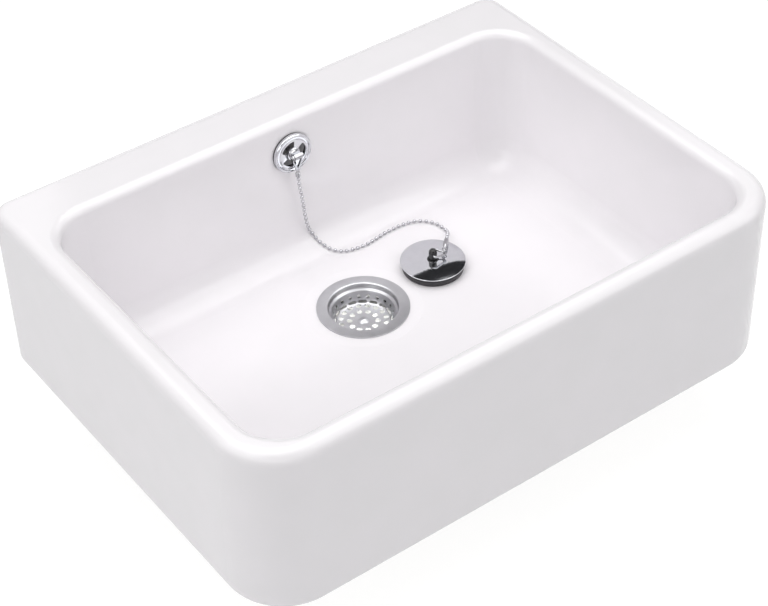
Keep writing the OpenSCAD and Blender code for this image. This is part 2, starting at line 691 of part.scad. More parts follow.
// The hose runs back under the sink, bends up and stands in the rear pocket.
module overflow_hose() {
    start_y = inlet_end - socket_len + 0.3;
    end_z = elbow_end_z + socket_len - 0.3;
    bend_y = elbow_y - hose_bend_r;
    bend_z = inlet_z + hose_bend_r;
    rib_start = inlet_end + washer_t + nut_lip + 2;
    rib_end = elbow_end_z - washer_t - nut_lip - 2;
    flat_len = bend_y - rib_start;
    bend_len = hose_bend_r * PI / 2;
    rise_len = rib_end - bend_z;
    total = flat_len + bend_len + rise_len;
    steps = 2 * floor(total / rib_pitch);
    spot = function (s)
        s < flat_len ? [0, rib_start + s, inlet_z] :
        s < flat_len + bend_len ?
            let (a = (s - flat_len) / hose_bend_r * 180 / PI)
            [0, bend_y + hose_bend_r * sin(a), bend_z - hose_bend_r * cos(a)] :
        [0, elbow_y, bend_z + s - flat_len - bend_len];
    route = concat([[0, start_y, inlet_z], [0, rib_start - 1, inlet_z]],
        [for (i = [0:steps]) spot(total * i / steps)],
        [[0, elbow_y, rib_end + 1], [0, elbow_y, end_z]]);
    radii = concat([hose_r, hose_r], [for (i = [0:steps]) i % 2 == 0 ? hose_r : hose_rib_r], [hose_r, hose_r]);
    color("lightgray") ribbed_tube(route, radii, hose_bore_r, [1, 0, 0]);
}

module shackle_pin() {
    half = lug_half + ear_gap + ear_t + 0.2;
    color("silver") translate([0, pin_y, overflow_z]) rotate([0, 90, 0]) {
        translate([0, 0, -half]) cylinder(h = 2 * half, r = pin_r);
        for (side = [0, 1])
            mirror([0, 0, side]) translate([0, 0, half - 0.1]) cylinder(h = 0.9, r = pin_r + 0.6);
    }
}

// Stirrup of flat bar: two eyes on the pin, arms that close in, and a neck for the clasp.
module chain_shackle() {
    x_in = lug_half + ear_gap;
    x_out = x_in + ear_t;
    arm_t = 2.4;
    close_z = -shackle_len + 4;
    color("silver") translate([0, pin_y, overflow_z]) difference() {
        union() {
            for (side = [-1, 1]) {
                translate([side > 0 ? x_in : -x_out, 0, 0]) rotate([0, 90, 0]) cylinder(h = ear_t, r = ear_r);
                translate([0, arm_t / 2, 0]) rotate([90, 0, 0]) linear_extrude(arm_t)
                    polygon([for (q = [[x_in, 0], [x_out, 0], [x_out, -4], [2.2, close_z], [2.2, close_z - 1.5],
                        [-0.01, close_z - 1.5], [-0.01, close_z + 0.8], [x_in, -5]]) [side * q[0], q[1]]]);
            }
            translate([0, 0, -shackle_len]) cylinder(h = 4, r = 1.6);
        }
        translate([-10, 0, 0]) rotate([0, 90, 0]) cylinder(h = 20, r = pin_r + run_fit);
    }
}

module chain_clasp() {
    r = ball_d / 2 + 0.9;
    color("silver") translate([0, pin_y, overflow_z - shackle_len - clasp_len]) {
        cylinder(h = 1, r1 = r - 0.5, r2 = r);
        translate([0, 0, 1]) cylinder(h = clasp_len - 2.5, r = r);
        translate([0, 0, clasp_len - 1.5]) cylinder(h = 1.5, r1 = r, r2 = 1.6);
    }
}

module chain_hanging() {
    color("silver") solid_tube(CHAIN_HANGING, ball_d / 2, [1, 0, 0]);
}

module chain_lying() {
    color("silver") solid_tube(CHAIN_LYING, ball_d / 2, [0, 0, 1]);
}

module chain_at_plug() {
    color("silver") solid_tube(CHAIN_AT_PLUG, ball_d / 2, [1, 0, 0]);
}

// Places a piece in the resting link's plane: the origin is the stud's cross hole and X
// points from there to the link's apex.
module on_link() {
    translate([plug_x, plug_y, hole_z]) rotate([0, 0, link_turn]) rotate([0, link_droop, 0]) children();
}

// Places a piece on the chain's line at the link, with X along the chain.
module at_connector() {
    on_link() translate([link_len - ring_reach, 0, 0]) rotate([0, 0, connector_turn]) children();
}

// Wire bent into a closed loop round the corners, which are listed anticlockwise. The wire
// draws a little thinner in its bends.
module wire_loop(corners, bend, r) {
    n = len(corners);
    thinning = 0.05;
    lap = 0.1;
    dir = function (i) unit(corners[(i + 1) % n] - corners[i % n]);
    turn = function (i) acos(dir(i + n - 1) * dir(i));
    trim = function (i) bend * tan(turn(i) / 2);
    for (i = [0:n - 1]) {
        before = dir(i + n - 1);
        start = corners[i] - trim(i) * before;
        from = corners[i] + trim(i) * dir(i);
        length = norm(corners[(i + 1) % n] - corners[i]) - trim(i) - trim((i + 1) % n);
        translate(start + bend * [-before[1], before[0]]) rotate([0, 0, atan2(before[1], before[0]) - 90])
            rotate_extrude(angle = turn(i)) translate([bend, 0]) circle(r - thinning, $fn = 32);
        translate(from - lap * dir(i)) rotate([0, 0, atan2(dir(i)[1], dir(i)[0])]) rotate([0, 90, 0])
            cylinder(h = length + 2 * lap, r = r, $fn = 32);
    }
}

// Bent wire triangle: the base runs through the stud, and the apex carries the chain's ring.
module triangle_link() {
    color("silver") on_link()
        wire_loop([[0, link_half], [0, -link_half], [link_len, 0]], link_bend, link_wire_r);
}

// Ring that joins the link's apex to the eye of the chain connector.
module chain_ring() {
    color("silver") at_connector() translate([ring_r, 0, 0]) rotate([90, 0, 0])
        rotate_extrude() translate([ring_r, 0]) circle(ring_wire, $fn = 32);
}

// Chain connector: an eye through the ring and a bell that grips the chain's last ball.
module chain_connector() {
    color("silver") at_connector() translate([eye_reach, 0, 0]) {
        rotate_extrude() translate([eye_r, 0]) circle(eye_wire, $fn = 32);
        translate([eye_r, 0, 0]) rotate([0, 90, 0]) {
            cylinder(h = 2.5, r1 = 0.9, r2 = barrel_r - 0.5);
            translate([0, 0, 2.5]) cylinder(h = 1.5, r1 = barrel_r - 0.5, r2 = barrel_r);
            translate([0, 0, 4]) cylinder(h = barrel_len - 5, r = barrel_r);
            translate([0, 0, barrel_len - 1]) cylinder(h = 1, r1 = barrel_r, r2 = barrel_r - 0.5);
        }
    }
}

// Stud with the eye for the link, its shank through disc and rubber, and its riveted foot.
module plug_stud() {
    foot_z = floor_z + recess_h - washer_plate - 1.6;
    color("black") translate([plug_x, plug_y, 0]) difference() {
        union() {
            translate([0, 0, disc_top]) cylinder(h = 1.2, r1 = stud_r + 1.8, r2 = stud_r + 1.2);
            translate([0, 0, disc_top + 1.2]) cylinder(h = stud_hole_h, r = stud_r);
            translate([0, 0, disc_top + 1.2 + stud_hole_h]) sphere(stud_r);
            translate([0, 0, foot_z]) cylinder(h = disc_top - foot_z, r = shank_r);
            translate([0, 0, foot_z]) cylinder(h = 1.6, r = shank_r + 2);
        }
        translate([0, 0, hole_z]) rotate([0, 0, link_turn]) rotate([90, 0, 0])
            cylinder(h = 20, r = link_wire_r + run_fit, center = true);
    }
}

// Spun disc with a thin rounded edge and a shallow crown.
module plug_disc() {
    edge_r = (disc_t - disc_crown) / 2;
    rim_r = disc_r - edge_r;
    crown_r = (rim_r * rim_r + disc_crown * disc_crown) / (2 * disc_crown);
    lean = asin(rim_r / crown_r);
    color("lightsteelblue") translate([plug_x, plug_y, rubber_top]) difference() {
        rotate_extrude() polygon(concat([[0, 0]], arc(rim_r, edge_r, edge_r, -90, 85 - lean, 6),
            arc(0, disc_t - crown_r, crown_r, 90 - 0.98 * lean, 90, 10)));
        translate([0, 0, -cut]) cylinder(h = disc_t + 2 * cut, r = shank_r + 0.05);
    }
}

// Rubber body: a rolled upper bead, a tapered skirt and a recess for the rivet.
module plug_rubber() {
    color("black") translate([plug_x, plug_y, floor_z]) difference() {
        rotate_extrude() polygon([[0, 0], [rubber_r - 1.3, 0], [rubber_r - 0.7, 0.6],
            [rubber_r - 0.4, rubber_h - 3.4], [rubber_r - 0.9, rubber_h - 3], [rubber_r - 0.9, rubber_h - 2.4],
            [rubber_r, rubber_h - 1.8], [rubber_r, rubber_h - 0.4], [rubber_r - 0.4, rubber_h], [0, rubber_h]]);
        translate([0, 0, -cut]) cylinder(h = recess_h + cut, r = recess_r);
        cylinder(h = rubber_h + cut, r = shank_r + 0.05);
    }
}

module plug_washer() {
    color("silver") translate([plug_x, plug_y, floor_z + recess_h - washer_plate]) difference() {
        cylinder(h = washer_plate, r = recess_r - 2);
        translate([0, 0, -cut]) cylinder(h = washer_plate + 2 * cut, r = shank_r + 0.05);
    }
}

sink_basin();
flange_seal();
strainer_cup();
strainer_screw();
under_seal();
waste_body();
waste_insert();
overflow_rosette();
rosette_seal();
rosette_bolt();
elbow_seal();
overflow_elbow();
elbow_insert();
hose_washers();
hose_nut_lower();
hose_nut_upper();
overflow_hose();
shackle_pin();
chain_shackle();
chain_clasp();
chain_hanging();
chain_lying();
chain_at_plug();
chain_connector();
chain_ring();
triangle_link();
plug_stud();
plug_disc();
plug_rubber();
plug_washer();
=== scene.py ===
import math

import bmesh
import bpy
from mathutils import Matrix, Vector


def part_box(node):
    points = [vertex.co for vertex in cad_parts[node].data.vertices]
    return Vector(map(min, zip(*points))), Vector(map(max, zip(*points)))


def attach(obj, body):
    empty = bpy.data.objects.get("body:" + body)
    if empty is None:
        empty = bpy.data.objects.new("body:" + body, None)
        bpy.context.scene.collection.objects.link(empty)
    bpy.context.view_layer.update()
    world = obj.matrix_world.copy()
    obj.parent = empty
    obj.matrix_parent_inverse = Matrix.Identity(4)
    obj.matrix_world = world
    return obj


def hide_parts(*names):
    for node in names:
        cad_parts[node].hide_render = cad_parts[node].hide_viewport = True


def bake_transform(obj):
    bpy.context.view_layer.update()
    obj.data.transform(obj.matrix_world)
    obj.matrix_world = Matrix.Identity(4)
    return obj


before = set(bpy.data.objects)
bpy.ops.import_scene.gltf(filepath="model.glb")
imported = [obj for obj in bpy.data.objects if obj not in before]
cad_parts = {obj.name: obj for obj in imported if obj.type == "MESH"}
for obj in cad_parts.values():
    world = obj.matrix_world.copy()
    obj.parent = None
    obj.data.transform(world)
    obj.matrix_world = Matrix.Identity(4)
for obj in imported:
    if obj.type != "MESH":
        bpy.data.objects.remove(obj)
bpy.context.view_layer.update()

# Lengths are in metres, apart from the routes of the chain and the hose and the sizes of the thread,
# which are in millimetres.
MM = 0.001
WASTE_Y = 48 * MM
FLOOR_Z = -89 * MM


# Colours and nodes

def linear(code):
    """An sRGB hex colour as linear red, green, blue and alpha."""
    parts = [int(code[i:i + 2], 16) / 255 for i in (1, 3, 5)]
    return [c / 12.92 if c <= 0.04045 else ((c + 0.055) / 1.055) ** 2.4 for c in parts] + [1.0]


def put(tree, kind, sockets=None, **settings):
    """Adds a node. sockets holds a value or a feeding output for each input, by name or number."""
    made = tree.nodes.new(kind)
    for name, value in settings.items():
        setattr(made, name, value)
    for key, value in (sockets or {}).items():
        if isinstance(value, bpy.types.NodeSocket):
            tree.links.new(value, made.inputs[key])
        else:
            made.inputs[key].default_value = value
    return made


def new_material(name):
    """An empty material and its node tree."""
    made = bpy.data.materials.new(name)
    made.use_nodes = True
    made.node_tree.nodes.clear()
    return made, made.node_tree


def surface(tree, shader):
    """Lets a shader be the material's surface."""
    put(tree, "ShaderNodeOutputMaterial", {"Surface": shader.outputs[0]})


def wear(material, *nodes):
    """Gives CAD nodes a material in place of their own."""
    for name in nodes:
        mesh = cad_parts[name].data
        mesh.materials.clear()
        mesh.materials.append(material)


# Objects and meshes

def in_scene(name, data):
    """A new object in the scene's collection."""
    made = bpy.data.objects.new(name, data)
    bpy.context.scene.collection.objects.link(made)
    return made


def mesh_from(name, shape):
    """Turns a bmesh into a mesh and frees it."""
    mesh = bpy.data.meshes.new(name)
    shape.to_mesh(mesh)
    shape.free()
    return mesh


def sheet(name, corners, material):
    """A flat face with four corners."""
    mesh = bpy.data.meshes.new(name)
    mesh.from_pydata(corners, [], [(0, 1, 2, 3)])
    mesh.materials.append(material)
    return in_scene(name, mesh)


# Camera

# It was fitted to the outline of the sink in the photograph. The angles are in radians.
PICTURE_WIDTH = 768
FOCAL_PIXELS = 2014.95
TURN, TILT, ROLL = -0.617842, 0.709271, -0.0287207
CAMERA_PLACE = (-863.087 * MM, -1202.292 * MM, 1329.68 * MM)

camera_data = bpy.data.cameras.new("camera")
camera_data.sensor_fit = "HORIZONTAL"
camera_data.sensor_width = 36
camera_data.lens = FOCAL_PIXELS * camera_data.sensor_width / PICTURE_WIDTH
camera_data.clip_start = 0.05
camera_data.clip_end = 60
camera = in_scene("camera", camera_data)
ahead = Vector((-math.sin(TURN) * math.cos(TILT), math.cos(TURN) * math.cos(TILT), -math.sin(TILT)))
side = Vector((math.cos(TURN), math.sin(TURN), 0))
above = side.cross(ahead)
right = math.cos(ROLL) * side + math.sin(ROLL) * above
up = math.cos(ROLL) * above - math.sin(ROLL) * side
camera.matrix_world = Matrix((
    (right.x, up.x, -ahead.x, CAMERA_PLACE[0]),
    (right.y, up.y, -ahead.y, CAMERA_PLACE[1]),
    (right.z, up.z, -ahead.z, CAMERA_PLACE[2]),
    (0, 0, 0, 1)))
bpy.context.scene.camera = camera


# The ball chain

# The route from the clasp to the connector, in three parts, like the CAD's three chain nodes, which belong to
# different bodies.
CHAIN_HANGING = [
    (0, 153.4, 120.8), (0.6, 153.4, 113), (1.6, 153.4, 105), (2.8, 153.5, 97), (3.8, 153.7, 88),
    (4.9, 154, 79), (6, 154.4, 70), (7.2, 154.9, 62), (8.8, 155.4, 54.5), (10.8, 156, 48),
    (13.4, 155.9, 42.4), (16.6, 151.6, 35.2), (20.2, 145.4, 29.4), (24.8, 138.2, 25.7),
    (31, 131.5, 24.1), (38.6, 127.2, 23.8), (47, 125, 23.8), (52, 124.4, 23.8)]
CHAIN_LYING = [
    (52, 124.4, 23.8), (57, 123.8, 23.8), (64, 124, 23.8), (72, 125.2, 23.8), (80, 126.4, 23.8),
    (88, 127.2, 23.8), (96, 127.4, 23.8), (104, 127.3, 23.8), (112, 126.4, 23.8)]
CHAIN_AT_PLUG = [
    (112, 126.4, 23.8), (119.6, 124.4, 23.8), (126.6, 120.5, 23.8), (132, 115, 23.8), (135.8, 108.6, 23.8),
    (137.6, 102.4, 23.8), (138, 98.5, 23.8), (138, 95, 23.8), (138, 91.5, 23.8), (136, 87, 25.9),
    (132.6, 82.2, 29), (129, 77.4, 32.3), (125.6, 73.3, 35), (122.2, 69.6, 36.1), (119.7, 67.1, 36.3)]
BALL_R = 1.95 * MM
PIN_R = 0.55 * MM


def smooth_path(points, steps=6):
    """A Catmull-Rom curve through the points, in metres."""
    p = [Vector(q) * MM for q in points]
    p = [2 * p[0] - p[1]] + p + [2 * p[-1] - p[-2]]
    line = []
    for a, b, c, d in zip(p, p[1:], p[2:], p[3:]):
        for i in range(steps):
            t = i / steps
            line.append(0.5 * (2 * b + (c - a) * t + (2 * a - 5 * b + 4 * c - d) * t * t
                               + (3 * b - a - 3 * c + d) * t ** 3))
    return line + [p[-2]]


def path_object(name, line):
    """A curve object with straight pieces between the points of a line."""
    data = bpy.data.curves.new(name, "CURVE")
    data.dimensions = "3D"
    spline = data.splines.new("POLY")
    spline.points.add(len(line) - 1)
    for point, place in zip(spline.points, line):
        point.co = (*place, 1)
    return in_scene(name, data)


def new_tree(name, inputs):
    """A Geometry Nodes tree with named inputs. Returns the tree, its inputs and its end."""
    tree = bpy.data.node_groups.new(name, "GeometryNodeTree")
    tree.interface.new_socket("Geometry", in_out="INPUT", socket_type="NodeSocketGeometry")
    for label, kind in inputs:
        tree.interface.new_socket(label, in_out="INPUT", socket_type="NodeSocket" + kind)
    tree.interface.new_socket("Geometry", in_out="OUTPUT", socket_type="NodeSocketGeometry")
    return tree, put(tree, "NodeGroupInput").outputs, put(tree, "NodeGroupOutput")


def close_tree(tree, end, geometry, material_socket):
    """Makes a tree's geometry real, gives it the material and leads it to the end."""
    real = put(tree, "GeometryNodeRealizeInstances", {0: geometry})
    painted = put(tree, "GeometryNodeSetMaterial", {"Geometry": real.outputs[0], "Material": material_socket})
    tree.links.new(painted.outputs[0], end.inputs[0])


def grown(source, tree, values, name):
    """Runs a tree on an object and returns the result as a plain mesh object of its own."""
    modifier = source.modifiers.new("grow", "NODES")
    modifier.node_group = tree
    ids = {item.name: item.identifier for item in tree.interface.items_tree if item.in_out == "INPUT"}
    for label, value in values.items():
        modifier[ids[label]] = value
    bpy.context.view_layer.update()
    graph = bpy.context.evaluated_depsgraph_get()
    mesh = bpy.data.meshes.new_from_object(source.evaluated_get(graph), depsgraph=graph)
    mesh.name = name
    source.modifiers.remove(modifier)
    bpy.data.objects.remove(source)
    return in_scene(name, mesh)


def ball_chain_tree():
    """Balls at an even pitch on a thin pin, which runs along the whole route and shows between them."""
    tree, given, end = new_tree("ball_chain", [
        ("Ball Radius", "Float"), ("Ball Count", "Int"), ("Pin Radius", "Float"), ("Material", "Material")])
    points = put(tree, "GeometryNodePoints", {"Count": given["Ball Count"]})
    index = put(tree, "GeometryNodeInputIndex")
    half = put(tree, "ShaderNodeMath", {0: index.outputs[0], 1: 0.5}, operation="ADD")
    factor = put(tree, "ShaderNodeMath", {0: half.outputs[0], 1: given["Ball Count"]}, operation="DIVIDE")
    spot = put(tree, "GeometryNodeSampleCurve", {"Curves": given["Geometry"], "Factor": factor.outputs[0]},
               mode="FACTOR")
    placed = put(tree, "GeometryNodeSetPosition", {
        "Geometry": points.outputs[0], "Position": spot.outputs["Position"]})
    ball = put(tree, "GeometryNodeMeshUVSphere", {"Segments": 14, "Rings": 9, "Radius": given["Ball Radius"]})
    along = put(tree, "FunctionNodeAlignRotationToVector", {"Vector": spot.outputs["Tangent"]}, axis="Z")
    balls = put(tree, "GeometryNodeInstanceOnPoints", {
        "Points": placed.outputs[0], "Instance": ball.outputs["Mesh"], "Rotation": along.outputs[0]})
    ring = put(tree, "GeometryNodeCurvePrimitiveCircle", {"Resolution": 8, "Radius": given["Pin Radius"]})
    pins = put(tree, "GeometryNodeCurveToMesh", {
        "Curve": given["Geometry"], "Profile Curve": ring.outputs[0], "Fill Caps": True})
    both = put(tree, "GeometryNodeJoinGeometry")
    tree.links.new(balls.outputs[0], both.inputs[0])
    tree.links.new(pins.outputs[0], both.inputs[0])
    smooth = put(tree, "GeometryNodeSetShadeSmooth", {"Geometry": both.outputs[0]})
    close_tree(tree, end, smooth.outputs[0], given["Material"])
    return tree


def make_chain_steel():
    """Nickel-plated steel ball chain: a grey mirror that is a little cloudy on each ball."""
    made, tree = new_material("nickel_plated_ball_chain")
    place = put(tree, "ShaderNodeTexCoord").outputs["Object"]
    # The clouds are about 1 mm wide, a quarter of a ball.
    cloud = put(tree, "ShaderNodeTexNoise", {"Vector": place, "Scale": 900.0, "Detail": 3.0})
    tone = put(tree, "ShaderNodeValToRGB", {"Fac": cloud.outputs["Fac"]})
    tone.color_ramp.elements[0].color = linear("#b0b0b4")
    tone.color_ramp.elements[1].color = linear("#cdcdd1")
    rough = put(tree, "ShaderNodeMapRange", {"Value": cloud.outputs["Fac"], "To Min": 0.16, "To Max": 0.34})
    surface(tree, put(tree, "ShaderNodeBsdfPrincipled", {
        "Base Color": tone.outputs["Color"], "Metallic": 1.0, "Roughness": rough.outputs[0]}))
    return made


chain_steel = make_chain_steel()
chain_tree = ball_chain_tree()


def chain_piece(name, node, route, balls):
    """Grows one part of the chain along its route, in place of a CAD node. Returns it and its path."""
    line = smooth_path(route)
    piece = grown(path_object(name + "_path", line), chain_tree, {
        "Ball Radius": BALL_R, "Ball Count": balls, "Pin Radius": PIN_R, "Material": chain_steel}, name)
    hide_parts(node)
    return piece, [tuple(q) for q in line]


hanging, hanging_path = chain_piece("ball_chain_hanging", "chain_hanging", CHAIN_HANGING, 23)
lying, lying_path = chain_piece("ball_chain_lying", "chain_lying", CHAIN_LYING, 10)
at_plug, at_plug_path = chain_piece("ball_chain_at_plug", "chain_at_plug", CHAIN_AT_PLUG, 13)
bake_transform(hanging)
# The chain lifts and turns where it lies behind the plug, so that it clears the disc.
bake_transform(lying)
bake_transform(at_plug)


# Materials

# The scale of a noise is 1 over the width of its pattern in metres, so 1000 draws a pattern of 1 mm.

def make_glaze():
    """Vitreous white glaze on fireclay: soft-edged, gently uneven highlights, and bare matt clay on
    the underside, where the piece stood in the kiln."""
    made, tree = new_material("white_glazed_fireclay")
    place = put(tree, "ShaderNodeTexCoord").outputs["Object"]
    # The glaze runs in soft waves about 40 mm long, with a fine orange peel of about 2 mm.
    waves = put(tree, "ShaderNodeTexNoise", {"Vector": place, "Scale": 24.0, "Detail": 1.0})
    peel = put(tree, "ShaderNodeTexNoise", {"Vector": place, "Scale": 480.0, "Detail": 2.0})
    low = put(tree, "ShaderNodeBump", {
        "Height": waves.outputs["Fac"], "Strength": 0.35, "Distance": 0.6 * MM})
    fine = put(tree, "ShaderNodeBump", {
        "Height": peel.outputs["Fac"], "Strength": 0.10, "Distance": 0.02 * MM, "Normal": low.outputs[0]})
    # Clay shows bare and slightly cream below the glaze line, a wavy one about 1 mm up from the underside.
    # The line's waves are about 17 mm long. The clay's grain is about 0.3 mm wide, drawn 0.7 mm wide to show.
    height = put(tree, "ShaderNodeSeparateXYZ", {"Vector": place}).outputs["Z"]
    edge = put(tree, "ShaderNodeTexNoise", {"Vector": place, "Scale": 60.0, "Detail": 3.0})
    level = put(tree, "ShaderNodeMath", {
        0: edge.outputs["Fac"], 1: 1.5 * MM, 2: 0.2 * MM}, operation="MULTIPLY_ADD")
    bare = put(tree, "ShaderNodeMath", {0: height, 1: level.outputs[0]}, operation="LESS_THAN")
    grain = put(tree, "ShaderNodeTexNoise", {"Vector": place, "Scale": 1400.0, "Detail": 4.0})
    clay = put(tree, "ShaderNodeValToRGB", {"Fac": grain.outputs["Fac"]})
    clay.color_ramp.elements[0].color = linear("#d9d2c4")
    clay.color_ramp.elements[1].color = linear("#ece7dc")
    cast = put(tree, "ShaderNodeValToRGB", {"Fac": waves.outputs["Fac"]})
    cast.color_ramp.elements[0].color = linear("#f1eff1")
    cast.color_ramp.elements[1].color = linear("#f5f2f5")
    colour = put(tree, "ShaderNodeMix", {
        "Factor": bare.outputs[0], 6: cast.outputs["Color"], 7: clay.outputs["Color"]}, data_type="RGBA")
    rough = put(tree, "ShaderNodeMapRange", {"Value": bare.outputs[0], "To Min": 0.18, "To Max": 0.85})
    surface(tree, put(tree, "ShaderNodeBsdfPrincipled", {
        "Base Color": colour.outputs[2], "Roughness": rough.outputs[0], "IOR": 1.52,
        "Normal": fine.outputs[0]}))
    return made


def make_satin_steel():
    """Pressed stainless steel with a turned satin finish: soft grey, with fine rings round the waste."""
    made, tree = new_material("satin_stainless_steel")
    place = put(tree, "ShaderNodeTexCoord").outputs["Object"]
    centred = put(tree, "ShaderNodeMapping", {"Vector": place, "Location": (0, -WASTE_Y, 0)})
    axis = put(tree, "ShaderNodeSeparateXYZ", {"Vector": centred.outputs[0]})
    flat = put(tree, "ShaderNodeCombineXYZ", {"X": axis.outputs["X"], "Y": axis.outputs["Y"]})
    radius = put(tree, "ShaderNodeVectorMath", {0: flat.outputs[0]}, operation="LENGTH")
    # The turning marks are about 0.1 mm wide; they are drawn 0.4 mm wide so that they show.
    rings_at = put(tree, "ShaderNodeCombineXYZ", {"X": radius.outputs["Value"], "Z": axis.outputs["Z"]})
    rings = put(tree, "ShaderNodeTexNoise", {"Vector": rings_at.outputs[0], "Scale": 2500.0, "Detail": 2.0})
    # The stains of handling are about 11 mm wide.
    stains = put(tree, "ShaderNodeTexNoise", {"Vector": place, "Scale": 90.0, "Detail": 4.0})
    tone = put(tree, "ShaderNodeValToRGB", {"Fac": stains.outputs["Fac"]})
    tone.color_ramp.elements[0].color = linear("#b4b4b7")
    tone.color_ramp.elements[1].color = linear("#c6c6c9")
    rough = put(tree, "ShaderNodeMapRange", {"Value": stains.outputs["Fac"], "To Min": 0.24, "To Max": 0.36})
    bump = put(tree, "ShaderNodeBump", {
        "Height": rings.outputs["Fac"], "Strength": 0.25, "Distance": 0.03 * MM})
    surface(tree, put(tree, "ShaderNodeBsdfPrincipled", {
        "Base Color": tone.outputs["Color"], "Metallic": 1.0, "Roughness": rough.outputs[0],
        "Normal": bump.outputs[0]}))
    return made


def make_plate(name, dark, light, low, high):
    """Polished plating, chromium or nickel: a clear mirror with a faint polishing haze."""
    made, tree = new_material(name)
    place = put(tree, "ShaderNodeTexCoord").outputs["Object"]
    # The haze of the polishing wheel changes over about 7 mm.
    haze = put(tree, "ShaderNodeTexNoise", {"Vector": place, "Scale": 140.0, "Detail": 3.0})
    tone = put(tree, "ShaderNodeValToRGB", {"Fac": haze.outputs["Fac"]})
    tone.color_ramp.elements[0].color = linear(dark)
    tone.color_ramp.elements[1].color = linear(light)
    rough = put(tree, "ShaderNodeMapRange", {"Value": haze.outputs["Fac"], "To Min": low, "To Max": high})
    bump = put(tree, "ShaderNodeBump", {
        "Height": haze.outputs["Fac"], "Strength": 0.12, "Distance": 0.1 * MM})
    surface(tree, put(tree, "ShaderNodeBsdfPrincipled", {
        "Base Color": tone.outputs["Color"], "Metallic": 1.0, "Roughness": rough.outputs[0],
        "Normal": bump.outputs[0]}))
    return made


def make_rubber(name, dark, light, roughness):
    """Moulded black rubber: matt, with the fine grain of its mould and a dusty bloom."""
    made, tree = new_material(name)
    place = put(tree, "ShaderNodeTexCoord").outputs["Object"]
    # The mould's grain is about 0.1 mm wide, drawn 0.4 mm wide so that it shows. The bloom changes over 8 mm.
    grain = put(tree, "ShaderNodeTexNoise", {"Vector": place, "Scale": 2600.0, "Detail": 3.0})
    bloom = put(tree, "ShaderNodeTexNoise", {"Vector": place, "Scale": 120.0, "Detail": 4.0})
    tone = put(tree, "ShaderNodeValToRGB", {"Fac": bloom.outputs["Fac"]})
    tone.color_ramp.elements[0].color = linear(dark)
    tone.color_ramp.elements[1].color = linear(light)
    rough = put(tree, "ShaderNodeMapRange", {
        "Value": bloom.outputs["Fac"], "To Min": roughness - 0.08, "To Max": roughness + 0.1})
    bump = put(tree, "ShaderNodeBump", {
        "Height": grain.outputs["Fac"], "Strength": 0.3, "Distance": 0.05 * MM})
    surface(tree, put(tree, "ShaderNodeBsdfPrincipled", {
        "Base Color": tone.outputs["Color"], "Roughness": rough.outputs[0], "IOR": 1.5,
        "Normal": bump.outputs[0]}))
    return made


def make_waxy_plastic(name, dark, light, roughness):
    """Moulded polypropylene or polyethylene: waxy, faintly see-through where it is thin, with a
    spark-eroded mould texture."""
    made, tree = new_material(name)
    place = put(tree, "ShaderNodeTexCoord").outputs["Object"]
    # The flow marks are about 33 mm long. The mould's texture is about 0.2 mm wide, drawn 0.6 mm wide.
    flow = put(tree, "ShaderNodeTexNoise", {"Vector": place, "Scale": 30.0, "Detail": 2.0, "Distortion": 0.6})
    spark = put(tree, "ShaderNodeTexNoise", {"Vector": place, "Scale": 1800.0, "Detail": 2.0})
    tone = put(tree, "ShaderNodeValToRGB", {"Fac": flow.outputs["Fac"]})
    tone.color_ramp.elements[0].color = linear(dark)
    tone.color_ramp.elements[1].color = linear(light)
    rough = put(tree, "ShaderNodeMapRange", {
        "Value": flow.outputs["Fac"], "To Min": roughness - 0.05, "To Max": roughness + 0.06})
    bump = put(tree, "ShaderNodeBump", {
        "Height": spark.outputs["Fac"], "Strength": 0.2, "Distance": 0.04 * MM})
    surface(tree, put(tree, "ShaderNodeBsdfPrincipled", {
        "Base Color": tone.outputs["Color"], "Roughness": rough.outputs[0], "IOR": 1.49,
        "Subsurface Weight": 0.4, "Subsurface Radius": (6 * MM, 6 * MM, 6 * MM), "Subsurface Scale": 1.0,
        "Normal": bump.outputs[0]}))
    return made


def make_brass():
    """Turned brass: warm yellow, with lathe marks and a dull film."""
    made, tree = new_material("turned_brass")
    place = put(tree, "ShaderNodeTexCoord").outputs["Object"]
    # The film changes over about 3 mm.
    film = put(tree, "ShaderNodeTexNoise", {"Vector": place, "Scale": 300.0, "Detail": 3.0})
    tone = put(tree, "ShaderNodeValToRGB", {"Fac": film.outputs["Fac"]})
    tone.color_ramp.elements[0].color = linear("#b08d4a")
    tone.color_ramp.elements[1].color = linear("#d0ad66")
    # The lathe marks are about 0.2 mm apart, drawn 0.35 mm apart so that they show.
    marks = put(tree, "ShaderNodeTexWave", {"Vector": place, "Scale": 900.0}, bands_direction="Z")
    bump = put(tree, "ShaderNodeBump", {
        "Height": marks.outputs["Fac"], "Strength": 0.2, "Distance": 0.05 * MM})
    surface(tree, put(tree, "ShaderNodeBsdfPrincipled", {
        "Base Color": tone.outputs["Color"], "Metallic": 1.0, "Roughness": 0.32, "Normal": bump.outputs[0]}))
    return made


